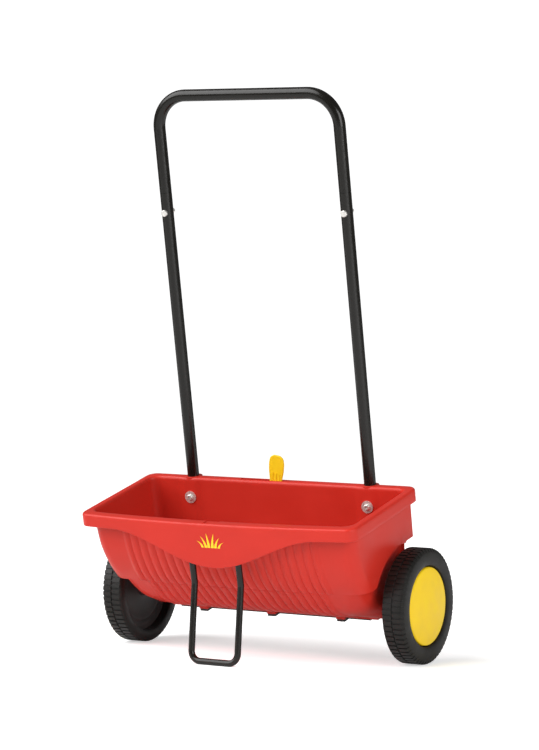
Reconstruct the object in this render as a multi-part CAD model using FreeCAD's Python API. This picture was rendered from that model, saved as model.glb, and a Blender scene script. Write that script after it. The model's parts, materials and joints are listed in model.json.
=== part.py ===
"""Drop spreader for lawns: hopper on two wheels, push handle, stand and dosing shutter.

Millimetres, +Z up, -Y towards the apron and stand, +Y towards the person who pushes.
The origin is on the ground, under the middle of the bounding box.

Most pieces are drawn in the hopper's own frame, with the axle as origin, +Y back and +Z
up, and are then leaned forward by TILT, because the parked spreader rests on its stand.
"""

import os
from math import cos, pi, radians, sin, tan

import FreeCAD
import Part

# ---- driving dimensions ----------------------------------------------------------------
TILT = 13.7                  # how far the parked hopper leans forward, degrees
WALL = 3.0                   # moulded wall

WHEEL_R = 105.0
WHEEL_OUT = 316.0            # outer face of each tyre, from the middle
WHEEL_IN = 273.4             # inner face of each tyre
CAP_R = 71.0                 # yellow hub cap
AXLE_R = 5.0
AXLE_HALF = 312.0
ROLLER_PIN_X = 197.0
DRIVE_PIN_X = 302.0

RIM_TOP = 204.0              # rim height above the axle, hopper frame
LIP_HEIGHT = 24.0
LIP_HALF = 284.0
LIP_FRONT = 191.0            # lip at the front corners
LIP_BOW = 14.0               # how much further the middle of the front stands out
LIP_BACK = 66.5
APRON_LOW = 122.0            # lowest point of the apron's wavy edge
APRON_HALF = 215.0
SKIRT_LOW = 112.0            # lower edge of the deep skirt at the back
SKIRT_BACK = 63.5
END_HALF = 271.0             # end walls of the tub under the rim
TROUGH_HALF = 250.0          # end plates of the hull and trough, inside the wheel arches
LAND_REACH = 217.0           # half length of the flat land under the trough
HULL_TOP = 63.0              # below this the tub narrows to the hull
TROUGH_R = 27.0
ARCH_R = 112.0
BOLT_WASHER_R = 11.5
SEAM_GAP = 1.0               # groove left between lower tube and bow
SKIRT_FRONT = 8.0            # where the skirt's sides leave the end walls

TUBE_R = 11.0
TUBE_WALL = 1.3
LEG_HALF = 187.4             # handle legs, from the middle
LEG_BACK = 62.0              # where a leg enters the rim
HANDLE_LEAN = 11.3           # lean of the parked handle from upright, degrees
HANDLE_LENGTH = 716.5        # rim to the middle of the top bar, along a leg
HANDLE_BEND = 60.0
SEAM = 537.5                 # rim to the end of each lower tube
JOINT_SCREW = 501.0
SPIGOT = 70.0                # length of the bow's reduced end inside the lower tube
TUBE_SUNK = 80.0             # length of a lower tube inside the hopper
BOLT_DROP = 38.0             # hopper bolt, under the rim
SOCKET_R = TUBE_R + 6.0      # outside of the moulded channel round each tube

ROD_R = 6.0
STAND_HALF = 47.8
STAND_IN_Y = -195.5          # stand legs behind the apron, hopper frame
STAND_TOP = 190.0
STAND_KINK = 89.0
STAND_FOOT_Y = -221.6        # foot bar, from the axle, measured level
STAND_BEND = 18.0

LEVER_X = -36.0              # lever pivot
LEVER_Y = 56.0
LEVER_Z = 30.0
LEVER_LEAN = 9.8             # lever at either end of its slot, degrees
LEVER_REACH = 226.0
LEVER_DROP = 56.0            # pivot to the shutter's pin
LEVER_THICK = 4.0

OUTLETS = 12
OUTLET_PITCH = 34.0
OUTLET_LENGTH = 15.0
OUTLET_WIDTH = 9.0
LAND_Z = -28.0               # flat land under the trough
LAND_HALF = 25.0
SHUTTER_THICK = 2.2
GUIDE_PITCH = 145.0
GUIDE_THICK = 1.8
GUIDE_SCREW_Y = 18.5

RUN = 0.06                   # radial clearance of a shaft that turns
GAP = 0.3                    # gap between faces that slide past each other

FRONT_REACH = (LIP_FRONT + LIP_BOW) * cos(radians(TILT)) + RIM_TOP * sin(radians(TILT))
AXLE_Y = (FRONT_REACH - WHEEL_R) / 2

X_AXIS = FreeCAD.Vector(1, 0, 0)
Y_AXIS = FreeCAD.Vector(0, 1, 0)
Z_AXIS = FreeCAD.Vector(0, 0, 1)
ORIGIN = FreeCAD.Vector(0, 0, 0)


def vec(x, y, z):
    return FreeCAD.Vector(x, y, z)


# ---- frames ----------------------------------------------------------------------------
def from_axle(shape):
    """Move a shape drawn about the axle to the spreader's own origin."""
    shape.translate(vec(0, AXLE_Y, WHEEL_R))
    return shape


def from_hopper(shape):
    """Lean a shape drawn in the hopper's frame forward, and put it in place."""
    shape.rotate(ORIGIN, X_AXIS, TILT)
    return from_axle(shape)


def leg_to_hopper(shape):
    """Place a shape whose Z axis is a handle leg, with its origin at the rim."""
    shape.rotate(ORIGIN, X_AXIS, HANDLE_LEAN - TILT)
    shape.translate(vec(0, LEG_BACK, RIM_TOP))
    return shape


def from_handle(shape):
    return from_hopper(leg_to_hopper(shape))


# ---- simple shapes ---------------------------------------------------------------------
def block(x0, x1, y0, y1, z0, z1):
    return Part.makeBox(x1 - x0, y1 - y0, z1 - z0, vec(x0, y0, z0))


def rod(start, end, radius):
    along = end - start
    return Part.makeCylinder(radius, along.Length, start, along)


def pipe(start, end, outer, inner):
    return rod(start, end, outer).cut(rod(start, end, inner))


def turned(outline):
    """Turn a closed outline of (x, radius) points round the axle line."""
    points = [vec(x, 0, r) for x, r in outline]
    face = Part.Face(Part.makePolygon(points + points[:1]))
    return face.revolve(ORIGIN, X_AXIS, 360)


def hexagon(centre, axis, across, height):
    """A hexagonal prism whose first face is centred on a point."""
    radius = across / 3 ** 0.5
    corners = [vec(radius * cos(k * pi / 3), radius * sin(k * pi / 3), 0) for k in range(7)]
    prism = Part.Face(Part.makePolygon(corners)).extrude(Z_AXIS * height)
    prism.Placement = FreeCAD.Placement(centre, FreeCAD.Rotation(Z_AXIS, axis))
    return prism


def fused(shapes):
    return shapes[0].multiFuse(shapes[1:]).removeSplitter()


def mirrored(shape):
    return shape.mirror(ORIGIN, X_AXIS)


def bent_path(points, radius):
    """Straight runs joined by tangent arcs, as one wire."""
    edges = []
    last = points[0]
    for before, corner, after in zip(points, points[1:], points[2:]):
        back = (before - corner).normalize()
        on = (after - corner).normalize()
        half_turn = (pi - back.getAngle(on)) / 2
        cut = radius * tan(half_turn)
        start = corner + back * cut
        end = corner + on * cut
        middle_way = (back + on).normalize()
        centre = corner + middle_way * (radius / cos(half_turn))
        edges.append(Part.LineSegment(last, start).toShape())
        edges.append(Part.Arc(start, centre - middle_way * radius, end).toShape())
        last = end
    edges.append(Part.LineSegment(last, points[-1]).toShape())
    return Part.Wire(edges)


def swept(path, radius):
    first = path.Edges[0]
    start = first.valueAt(first.FirstParameter)
    circle = Part.Wire(Part.makeCircle(radius, start, first.tangentAt(first.FirstParameter)))
    return path.makePipeShell([circle], True, False)


# ---- hopper ----------------------------------------------------------------------------
def plan(z, half, front, bow, back, front_r, back_r):
    """Plan outline at one height: straight back and ends, bowed front, round corners."""
    k = 1 - 0.5 ** 0.5
    right = [vec(half - back_r, back, z), vec(half - k * back_r, back - k * back_r, z),
             vec(half, back - back_r, z), vec(half, front_r - front, z),
             vec(half - k * front_r, k * front_r - front, z), vec(half - front_r, -front, z)]
    left = [vec(-p.x, p.y, z) for p in reversed(right)]
    return Part.Wire([
        Part.LineSegment(left[5], right[0]).toShape(),
        Part.Arc(right[0], right[1], right[2]).toShape(),
        Part.LineSegment(right[2], right[3]).toShape(),
        Part.Arc(right[3], right[4], right[5]).toShape(),
        Part.Arc(right[5], vec(0, -front - bow, z), left[0]).toShape(),
        Part.Arc(left[0], left[1], left[2]).toShape(),
        Part.LineSegment(left[2], left[3]).toShape(),
        Part.Arc(left[3], left[4], left[5]).toShape()])


def plan_prism(low, high, inset):
    """Upright prism of the lip's outline, moved in by a distance."""
    wire = plan(low, LIP_HALF - inset, LIP_FRONT - inset, LIP_BOW, LIP_BACK - inset,
                20 - inset, 20 - inset)
    return Part.Face(wire).extrude(Z_AXIS * (high - low))


# height, half length, front, bow, back, front and back corner radius of the tub's outside
TUB_STATIONS = [
    (RIM_TOP, END_HALF, 174, 12, 50, 22, 20),
    (160, 270, 172, 10, 48, 24, 20),
    (125, 269, 166, 8, 45, 26, 20),
    (85, 267, 150, 7, 40, 30, 20),
    (50, 264, 126, 4, 35, 30, 18),
    (20, 261, 103, 1, 30, 26, 14),
    (0, 258, 72, 0.5, 27, 18, 11),
    (-14, 256, 38, 0.3, 23, 12, 8),
]


# front corner radius of the hull at the same heights
HULL_CORNERS = [22, 24, 26, 32, 37, 50, 52, 30]
HULL_SET_BACK = 0.3          # the hull's front behind the tub's, so that their edges stay apart


def arch_room():
    """Space in front of the tub's back wall, which closes the wheel arches behind."""
    edge = [vec(-400, -300, 0), vec(-400, 24, 0), vec(-400, 35, 70), vec(-400, 41, 112),
            vec(-400, 41, 300), vec(-400, -300, 300)]
    return Part.Face(Part.makePolygon(edge + edge[:1])).extrude(X_AXIS * 800)


def tub_loft(stations, inset):
    wires = []
    for z, half, front, bow, back, front_r, back_r in stations:
        z = z + inset if z < 0 else z
        wires.append(plan(z, half - inset, front - inset, bow, back - inset,
                          front_r - inset, back_r - inset))
    return Part.makeLoft(wires, True, False)


def tub_solid(inset):
    """The tub as a full solid, its walls moved in by a distance: body, hull and trough."""
    floor = HULL_TOP + inset
    body = tub_loft(TUB_STATIONS, inset).common(block(-300, 300, -300, 300, floor, 300))
    for side in (-1, 1):
        near = side * (TROUGH_HALF - inset)
        arch = rod(vec(near, 0, 0), vec(side * 400, 0, 0), ARCH_R + inset)
        body = body.cut(arch if inset else arch.common(arch_room()))
    stations = [(z, TROUGH_HALF, front - HULL_SET_BACK, bow, back - HULL_SET_BACK, corner, back_r)
                for (z, _, front, bow, back, _, back_r), corner
                in zip(TUB_STATIONS, HULL_CORNERS)]
    hull = tub_loft(stations, inset).common(block(-300, 300, -300, 300, -100, floor + 0.5))
    end = vec(TROUGH_HALF - inset, 0, 0)
    return body.multiFuse([hull, rod(-end, end, TROUGH_R - inset)])


def rim():
    """Flat flange and the lip that turns down from it all round."""
    return plan_prism(RIM_TOP - LIP_HEIGHT, RIM_TOP, 0).cut(
        plan_prism(RIM_TOP - LIP_HEIGHT, RIM_TOP - WALL, WALL))


def apron():
    """Front of the lip carried down to a wavy edge, deepest in the middle."""
    band = plan_prism(APRON_LOW - 1, RIM_TOP - WALL, 0).cut(
        plan_prism(APRON_LOW - 1, RIM_TOP - WALL, WALL))
    lip_low = RIM_TOP - LIP_HEIGHT
    steps = 12
    edge = []
    for k in range(steps + 1):
        x = APRON_HALF * (2 * k / steps - 1)
        rise = (1 - cos(pi * x / APRON_HALF)) / 2
        edge.append(vec(x, -300, APRON_LOW + (lip_low + 1 - APRON_LOW) * rise))
    wave = Part.BSplineCurve()
    wave.interpolate(edge)
    top = [edge[-1], vec(APRON_HALF, -300, RIM_TOP - WALL),
           vec(-APRON_HALF, -300, RIM_TOP - WALL), edge[0]]
    sides = [Part.LineSegment(a, b).toShape() for a, b in zip(top, top[1:])]
    window = Part.Face(Part.Wire([wave.toShape()] + sides)).extrude(Y_AXIS * 150)
    return band.common(window)


def skirt_outline(z, front, inset):
    """Outline of the back skirt at one height; its sides lean with the end walls."""
    half = END_HALF + 0.5 - 0.0253 * (RIM_TOP - z) - inset
    back = SKIRT_BACK - inset
    radius = 12 - inset
    k = radius * (1 - 0.5 ** 0.5)
    return Part.Wire([
        Part.LineSegment(vec(-half, front, z), vec(half, front, z)).toShape(),
        Part.LineSegment(vec(half, front, z), vec(half, back - radius, z)).toShape(),
        Part.Arc(vec(half, back - radius, z), vec(half - k, back - k, z),
                 vec(half - radius, back, z)).toShape(),
        Part.LineSegment(vec(half - radius, back, z), vec(radius - half, back, z)).toShape(),
        Part.Arc(vec(radius - half, back, z), vec(k - half, back - k, z),
                 vec(-half, back - radius, z)).toShape(),
        Part.LineSegment(vec(-half, back - radius, z), vec(-half, front, z)).toShape()])


def back_skirt():
    """Deep skirt behind the tub, which hides the tube ends and the lever."""
    full = Part.makeLoft([skirt_outline(z, SKIRT_FRONT, 0) for z in (SKIRT_LOW, RIM_TOP - 1)],
                         True, True)
    inside = Part.makeLoft([skirt_outline(z, SKIRT_FRONT - 1, WALL)
                            for z in (SKIRT_LOW - 1, RIM_TOP)], True, True)
    return full.cut(inside)


def tube_sockets():
    """Round channels that hold the handle tubes."""
    shapes = []
    for x in (-LEG_HALF, LEG_HALF):
        socket = rod(vec(x, 0, -TUBE_SUNK - WALL), vec(x, 0, -1), SOCKET_R)
        shapes.append(leg_to_hopper(socket))
    return shapes


def stand_sockets():
    shapes = []
    for x in (-STAND_HALF, STAND_HALF):
        shapes.append(block(x - 10, x + 10, -203, -176, 148, RIM_TOP - 1))
    return shapes


def lever_boss():
    return rod(vec(LEVER_X, 26, LEVER_Z), vec(LEVER_X, LEVER_Y - LEVER_THICK / 2 - GAP, LEVER_Z), 9)


def hopper_holes():
    """Everything drilled or cut through the moulding."""
    cuts = []
    for x in (-LEG_HALF, LEG_HALF):
        cuts.append(leg_to_hopper(rod(vec(x, 0, -TUBE_SUNK), vec(x, 0, 20), TUBE_R)))
        cuts.append(leg_to_hopper(rod(vec(x, -40, -BOLT_DROP), vec(x, 40, -BOLT_DROP), 3)))
    for x in (-STAND_HALF, STAND_HALF):
        cuts.append(rod(vec(x, STAND_IN_Y, 100), vec(x, STAND_IN_Y, STAND_TOP), ROD_R))
        side = 1 if x > 0 else -1
        cuts.append(rod(vec(x, STAND_IN_Y, 168), vec(x + side * 30, STAND_IN_Y, 168), 2))
    slot_reach = 44.0
    cuts.append(block(LEVER_X - slot_reach, LEVER_X + slot_reach, LEVER_Y - 3.2,
                      LEVER_Y + 3.2, RIM_TOP - 6, RIM_TOP + 1))
    cuts.append(rod(vec(LEVER_X, 40, LEVER_Z), vec(LEVER_X, 60, LEVER_Z), 4))
    cuts.append(rod(vec(-300, 0, 0), vec(300, 0, 0), 8))
    cuts += [block(x - OUTLET_LENGTH / 2, x + OUTLET_LENGTH / 2, -OUTLET_WIDTH / 2,
                   OUTLET_WIDTH / 2, LAND_Z - 1, -20) for x in outlet_places()]
    cuts += [rod(vec(side * (TROUGH_HALF - 8), y, z), vec(side * (TROUGH_HALF + 5), y, z), 1.5)
             for side in (-1, 1) for y, z in housing_screw_places()]
    cuts += [rod(vec(x, y, LAND_Z - 1), vec(x, y, LAND_Z + 3), 1.5)
             for x in guide_places() for y in (-GUIDE_SCREW_Y, GUIDE_SCREW_Y)]
    return cuts


def outlet_places():
    return [(k - (OUTLETS - 1) / 2) * OUTLET_PITCH for k in range(OUTLETS)]


def trough_land():
    """Flat land for the shutter, with a pad for each guide clip."""
    land = block(-LAND_REACH, LAND_REACH, -14, 14, LAND_Z, -20)
    pads = [block(x - 9, x + 9, -LAND_HALF, LAND_HALF, LAND_Z, -10) for x in guide_places()]
    return land.multiFuse(pads)


def hopper_shell():
    outer = tub_solid(0)
    land = trough_land()
    body = fused([outer, land, rim(), apron(), back_skirt()] + stand_sockets() + [lever_boss()])
    cavity = tub_solid(WALL)
    body = body.cut(cavity).multiFuse(tube_sockets())
    return body.cut(Part.makeCompound(hopper_holes()))


def housing_screw_places():
    """Centres of the three screws of each bearing housing, about the axle."""
    turns = [radians(90 + 120 * k) for k in range(3)]
    return [(20 * cos(turn), 20 * sin(turn)) for turn in turns]


# ---- handle ----------------------------------------------------------------------------
def lower_tube(x):
    tube = pipe(vec(x, 0, -TUBE_SUNK + 3), vec(x, 0, SEAM), TUBE_R, TUBE_R - TUBE_WALL)
    for z in (-BOLT_DROP, JOINT_SCREW):
        tube = tube.cut(rod(vec(x, -20, z), vec(x, 20, z), 3))
    return from_handle(tube)


def handle_bow():
    """Bent tube whose reduced ends plug into the lower tubes."""
    shoulder = SEAM + SEAM_GAP
    corners = [vec(-LEG_HALF, 0, shoulder), vec(-LEG_HALF, 0, HANDLE_LENGTH),
               vec(LEG_HALF, 0, HANDLE_LENGTH), vec(LEG_HALF, 0, shoulder)]
    path = bent_path(corners, HANDLE_BEND)
    spigot_r = TUBE_R - TUBE_WALL
    bow = swept(path, TUBE_R)
    hollow = swept(path, TUBE_R - 2 * TUBE_WALL)
    for x in (-LEG_HALF, LEG_HALF):
        low = SEAM - SPIGOT
        bow = bow.fuse(rod(vec(x, 0, low), vec(x, 0, shoulder + 2), spigot_r))
        hollow = hollow.fuse(rod(vec(x, 0, low), vec(x, 0, shoulder + 2), spigot_r - TUBE_WALL))
    bow = bow.cut(hollow)
    for x in (-LEG_HALF, LEG_HALF):
        bow = bow.cut(rod(vec(x, -20, JOINT_SCREW), vec(x, 20, JOINT_SCREW), 3))
    return from_handle(bow)


def joint_screws():
    """Pan-head screws through the seam of each leg, heads towards the front."""
    shapes = []
    for x in (-LEG_HALF, LEG_HALF):
        shank = rod(vec(x, -TUBE_R, JOINT_SCREW), vec(x, TUBE_R + 7, JOINT_SCREW), 3)
        head = rod(vec(x, -TUBE_R - 4, JOINT_SCREW), vec(x, -TUBE_R + 0.6, JOINT_SCREW), 6)
        head = head.cut(rod(vec(x, 0, JOINT_SCREW - 9), vec(x, 0, JOINT_SCREW + 9), TUBE_R))
        shapes.append(from_handle(round_head(shank.fuse(head), 1.5)))
    return Part.makeCompound(shapes)


def round_head(shape, radius):
    """Round the outer edge of a screw head that faces -Y."""
    low = shape.BoundBox.YMin
    rims = [e for e in shape.Edges if e.BoundBox.YMax < low + 0.1]
    return shape.makeFillet(radius, rims)


def joint_nuts():
    """Cap nuts behind the seam of each leg."""
    shapes = []
    for x in (-LEG_HALF, LEG_HALF):
        nut = hexagon(vec(x, TUBE_R - 0.8, JOINT_SCREW), Y_AXIS, 10, 6)
        dome = rod(vec(x, TUBE_R, JOINT_SCREW), vec(x, TUBE_R + 11, JOINT_SCREW), 4.6)
        far = [e for e in dome.Edges if e.BoundBox.YMin > TUBE_R + 10]
        nut = nut.fuse(dome.makeFillet(4, far))
        nut = nut.cut(rod(vec(x, 0, JOINT_SCREW), vec(x, TUBE_R + 7.3, JOINT_SCREW), 3))
        nut = nut.cut(rod(vec(x, 0, JOINT_SCREW - 20), vec(x, 0, JOINT_SCREW + 20), TUBE_R))
        shapes.append(from_handle(nut))
    return Part.makeCompound(shapes)


def hopper_bolts():
    """Bolts that lock the tubes in the hopper, heads inside."""
    shapes = []
    for x in (-LEG_HALF, LEG_HALF):
        shank = rod(vec(x, -SOCKET_R - 2, -BOLT_DROP), vec(x, SOCKET_R + 8, -BOLT_DROP), 3)
        head = rod(vec(x, -SOCKET_R - 6, -BOLT_DROP), vec(x, -SOCKET_R - 2, -BOLT_DROP), 5.5)
        recess = hexagon(vec(x, -SOCKET_R - 6, -BOLT_DROP), Y_AXIS, 5, 2.6)
        shapes.append(from_handle(round_head(shank.fuse(head), 1.5).cut(recess)))
    return Part.makeCompound(shapes)


def bolt_washers():
    """Large washers under the heads of the hopper bolts, seated on the socket."""
    shapes = []
    for x in (-LEG_HALF, LEG_HALF):
        disc = pipe(vec(x, -SOCKET_R - 2, -BOLT_DROP), vec(x, 0.2 - SOCKET_R, -BOLT_DROP),
                    BOLT_WASHER_R, 3)
        disc = disc.cut(rod(vec(x, 0, -BOLT_DROP - 30), vec(x, 0, -BOLT_DROP + 30), SOCKET_R))
        shapes.append(from_handle(disc))
    return Part.makeCompound(shapes)


def hopper_nuts():
    shapes = []
    for x in (-LEG_HALF, LEG_HALF):
        nut = hexagon(vec(x, SOCKET_R - 1, -BOLT_DROP), Y_AXIS, 10, 7)
        nut = nut.cut(rod(vec(x, 0, -BOLT_DROP), vec(x, 40, -BOLT_DROP), 3))
        nut = nut.cut(rod(vec(x, 0, -BOLT_DROP - 20), vec(x, 0, -BOLT_DROP + 20), SOCKET_R))
        shapes.append(from_handle(nut))
    return Part.makeCompound(shapes)


def tube_plugs():
    """Plastic plugs in the sunk ends of the lower tubes."""
    shapes = []
    for x in (-LEG_HALF, LEG_HALF):
        cap = rod(vec(x, 0, -TUBE_SUNK), vec(x, 0, -TUBE_SUNK + 3), TUBE_R - 0.5)
        stem = rod(vec(x, 0, -TUBE_SUNK + 2), vec(x, 0, -TUBE_SUNK + 18), TUBE_R - TUBE_WALL)
        shapes.append(from_handle(cap.fuse(stem)))
    return Part.makeCompound(shapes)


# ---- stand -----------------------------------------------------------------------------
def hopper_point(y, z):
    """A point of the hopper's frame, as level distances from the axle."""
    lean = radians(TILT)
    return y * cos(lean) - z * sin(lean), y * sin(lean) + z * cos(lean)


def stand():
    """One bent rod: two legs out of the apron, a slight kink, and a foot bar."""
    leg = [hopper_point(STAND_IN_Y, STAND_TOP), hopper_point(STAND_IN_Y, STAND_KINK),
           (STAND_FOOT_Y, ROD_R - WHEEL_R)]
    corners = [vec(-STAND_HALF, y, z) for y, z in leg]
    corners += [vec(STAND_HALF, y, z) for y, z in reversed(leg)]
    return from_axle(swept(bent_path(corners, STAND_BEND), ROD_R))


def stand_screws():
    """Self-tapping screws through the sides of the sockets into the stand."""
    shapes = []
    for side in (-1, 1):
        x = side * STAND_HALF
        shank = rod(vec(x + side * ROD_R, STAND_IN_Y, 168), vec(x + side * 11, STAND_IN_Y, 168), 2)
        head = rod(vec(x + side * 10, STAND_IN_Y, 168), vec(x + side * 12.5, STAND_IN_Y, 168), 4)
        shapes.append(from_hopper(shank.fuse(head)))
    return Part.makeCompound(shapes)


# ---- running gear ----------------------------------------------------------------------
def bearing_housing(side):
    """Flanged housing screwed to the end plate of the trough."""
    near = TROUGH_HALF
    shape = turned([(near, 8), (near, 26), (near + 4, 26), (near + 6, 17), (near + 10, 14.5),
                    (near + 11, 13.5), (near + 11, 8)])
    for y, z in housing_screw_places():
        shape = shape.cut(rod(vec(near - 1, y, z), vec(near + 10, y, z), 1.8))
        shape = shape.cut(rod(vec(near + 4, y, z), vec(near + 10, y, z), 4))
    return from_hopper(shape if side > 0 else mirrored(shape))


def housing_screws(side):
    shapes = []
    for y, z in housing_screw_places():
        shank = rod(vec(TROUGH_HALF - 7, y, z), vec(TROUGH_HALF + 4, y, z), 1.5)
        head = rod(vec(TROUGH_HALF + 4, y, z), vec(TROUGH_HALF + 6, y, z), 3.5)
        screw = shank.fuse(head)
        shapes.append(from_hopper(screw if side > 0 else mirrored(screw)))
    return shapes


def bearing_bush(side):
    """Plain bush with a flange, in which the axle turns."""
    near = TROUGH_HALF
    bore = AXLE_R + RUN
    shape = turned([(near - 5, bore), (near - 5, 8), (near + 11, 8), (near + 11, 12),
                    (near + 13, 12), (near + 13, bore)])
    return from_hopper(shape if side > 0 else mirrored(shape))


def axle():
    """Axle with cross holes for the roller pins and the drive pin."""
    shaft = rod(vec(-AXLE_HALF, 0, 0), vec(AXLE_HALF, 0, 0), AXLE_R)
    for x in (-ROLLER_PIN_X, ROLLER_PIN_X, DRIVE_PIN_X):
        shaft = shaft.cut(rod(vec(x, -9, 0), vec(x, 9, 0), 2))
    return from_hopper(shaft)


def feed_roller():
    """Ribbed roller that carries the granules to the outlets."""
    half = TROUGH_HALF - 8
    roller = rod(vec(-half, 0, 0), vec(half, 0, 0), 15)
    ribs = []
    for k in range(8):
        rib = block(-half, half, -2, 2, 12, 21)
        rib.rotate(ORIGIN, X_AXIS, 45 * k + 22.5)
        ribs.append(rib)
    roller = roller.multiFuse(ribs)
    roller = roller.cut(rod(vec(-half, 0, 0), vec(half, 0, 0), AXLE_R))
    for x in (-ROLLER_PIN_X, ROLLER_PIN_X):
        roller = roller.cut(rod(vec(x, -30, 0), vec(x, 30, 0), 2))
    return from_hopper(roller)


def roller_pins():
    """Cross pins that lock the roller to the axle."""
    shapes = [from_hopper(rod(vec(x, -17, 0), vec(x, 17, 0), 2))
              for x in (-ROLLER_PIN_X, ROLLER_PIN_X)]
    return Part.makeCompound(shapes)


def tyre(side):
    """Tyre with round shoulders and a deep inner face."""
    shape = turned([
        (WHEEL_IN, 90), (WHEEL_IN, 99), (WHEEL_IN + 2, 103), (WHEEL_IN + 5, WHEEL_R),
        (WHEEL_OUT - 9, WHEEL_R), (WHEEL_OUT - 4, 103), (WHEEL_OUT - 1, 98),
        (WHEEL_OUT, 90), (WHEEL_OUT, 78), (WHEEL_OUT - 2, 75.5), (WHEEL_OUT - 7, 75.5),
        (WHEEL_OUT - 7, 88), (WHEEL_IN + 8, 88), (WHEEL_IN + 8, 90)])
    return from_hopper(shape if side > 0 else mirrored(shape))


def wheel_disc(side, bore):
    """Moulded wheel: hub, dished disc and the rim under the tyre."""
    near = TROUGH_HALF + 16.6
    face = WHEEL_IN + 21
    shape = turned([
        (near, bore), (near, 16), (face, 19), (face, 84), (WHEEL_IN + 3, 85.5),
        (WHEEL_IN + 3, 88), (WHEEL_OUT - 7, 88), (WHEEL_OUT - 7, 75),
        (face + 3, 75), (face + 3, 18), (WHEEL_OUT - 8, 14), (WHEEL_OUT - 8, bore)])
    return from_hopper(shape if side > 0 else mirrored(shape))


def hub_cap(side):
    """Domed cap snapped into the wheel's outer face."""
    rim_x = WHEEL_OUT - 6
    seat = WHEEL_IN + 24
    shape = turned([(seat, 68), (seat, 70.5), (rim_x, 71.5), (rim_x + 4, CAP_R),
                    (rim_x + 6, CAP_R - 3), (rim_x + 8, 50), (rim_x + 9, 25), (rim_x + 9.3, 0),
                    (rim_x + 7, 0), (rim_x + 6.5, 25), (rim_x + 5.5, 50), (rim_x + 3, 67),
                    (rim_x, 68)])
    return from_hopper(shape if side > 0 else mirrored(shape))


def thrust_washers():
    washer = pipe(vec(TROUGH_HALF + 13.4, 0, 0), vec(TROUGH_HALF + 15.4, 0, 0), 12, AXLE_R)
    return Part.makeCompound([from_hopper(washer.copy()), from_hopper(mirrored(washer))])


def axle_caps():
    """Push-on caps that keep the wheels on the axle."""
    far = AXLE_HALF - 3
    cap = turned([(far, AXLE_R), (far, 9), (far + 1, 9), (far + 1, 7), (AXLE_HALF + 1, 6),
                  (AXLE_HALF + 1, 0), (AXLE_HALF, 0), (AXLE_HALF, AXLE_R)])
    return Part.makeCompound([from_hopper(cap.copy()), from_hopper(mirrored(cap))])


def drive_pin():
    """Cross pin that locks the right wheel to the axle."""
    return from_hopper(rod(vec(DRIVE_PIN_X, -14, 0), vec(DRIVE_PIN_X, 14, 0), 2))


def driven_disc():
    """Right wheel disc, drilled for the drive pin."""
    hole = from_hopper(rod(vec(DRIVE_PIN_X, -24, 0), vec(DRIVE_PIN_X, 24, 0), 2))
    return wheel_disc(1, AXLE_R).cut(hole)


# ---- dosing ----------------------------------------------------------------------------
def dosing_lever():
    """Flat lever: fork below, hub, arm through the rim slot, thumb paddle on top."""
    y0 = LEVER_Y - LEVER_THICK / 2
    reach = RIM_TOP - LEVER_Z
    outline = [(-7, 0), (-7, reach - 60), (-12, reach - 12), (-12.5, reach + 4),
               (-15, reach + 22), (-15.5, reach + 40), (-9, LEVER_REACH), (9, LEVER_REACH),
               (15.5, reach + 40), (15, reach + 22), (12.5, reach + 4), (12, reach - 12),
               (7, reach - 60), (7, 0)]
    plate = Part.Face(Part.makePolygon([vec(x, y0, z) for x, z in outline + outline[:1]]))
    arm = plate.extrude(Y_AXIS * LEVER_THICK)
    tail = block(-7, 7, y0, y0 + LEVER_THICK, -LEVER_DROP - 6, 0)
    hub = rod(vec(0, y0, 0), vec(0, y0 + LEVER_THICK, 0), 13)
    lever = fused([arm, tail, hub])
    for x in (-6, 0, 6):
        lever = lever.fuse(block(x - 1.4, x + 1.4, y0 - 1, y0, reach + 1, reach + 16))
    lever = lever.cut(rod(vec(0, 0, 0), vec(0, 90, 0), 4 + RUN))
    fork = block(-3 - GAP, 3 + GAP, y0 - 1, y0 + LEVER_THICK + 1, -LEVER_DROP - 7, -LEVER_DROP + 4)
    lever = lever.cut(fork)
    lever.rotate(ORIGIN, Y_AXIS, LEVER_LEAN)
    lever.translate(vec(LEVER_X, 0, LEVER_Z))
    return from_hopper(lever)


def lever_screw():
    """Shouldered screw on which the lever turns."""
    back = LEVER_Y + LEVER_THICK / 2 + GAP
    shank = rod(vec(LEVER_X, 42, LEVER_Z), vec(LEVER_X, back, LEVER_Z), 4)
    head = rod(vec(LEVER_X, back, LEVER_Z), vec(LEVER_X, back + 4, LEVER_Z), 8)
    slot = block(LEVER_X - 9, LEVER_X + 9, back + 2.6, back + 5, LEVER_Z - 0.9, LEVER_Z + 0.9)
    return from_hopper(shank.fuse(head).cut(slot))


def shutter_plate():
    """Sliding plate under the outlets, with a pin that the lever's fork moves."""
    top = LAND_Z - GAP
    low = top - SHUTTER_THICK
    half = (OUTLETS - 1) / 2 * OUTLET_PITCH + 14
    plate = block(-half, half, -13, 13, low, top)
    shift = LEVER_DROP * tan(radians(LEVER_LEAN))
    for x in outlet_places():
        plate = plate.cut(block(x - OUTLET_LENGTH / 2, x + OUTLET_LENGTH / 2,
                                -OUTLET_WIDTH / 2, OUTLET_WIDTH / 2, low - 1, top + 1))
    pin_x = LEVER_X - shift
    pin_z = LEVER_Z - LEVER_DROP
    front = LEVER_Y - LEVER_THICK / 2
    tab = block(pin_x - 9, pin_x + 9, 10, front - 3, low, top)
    upright = block(pin_x - 9, pin_x + 9, front - 5, front - 3, low, pin_z + 7)
    pin = rod(vec(pin_x, front - 4, pin_z), vec(pin_x, front + LEVER_THICK + 2, pin_z), 3)
    return from_hopper(fused([plate, tab, upright, pin]))


def guide_places():
    return [-GUIDE_PITCH, 0, GUIDE_PITCH]


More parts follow.
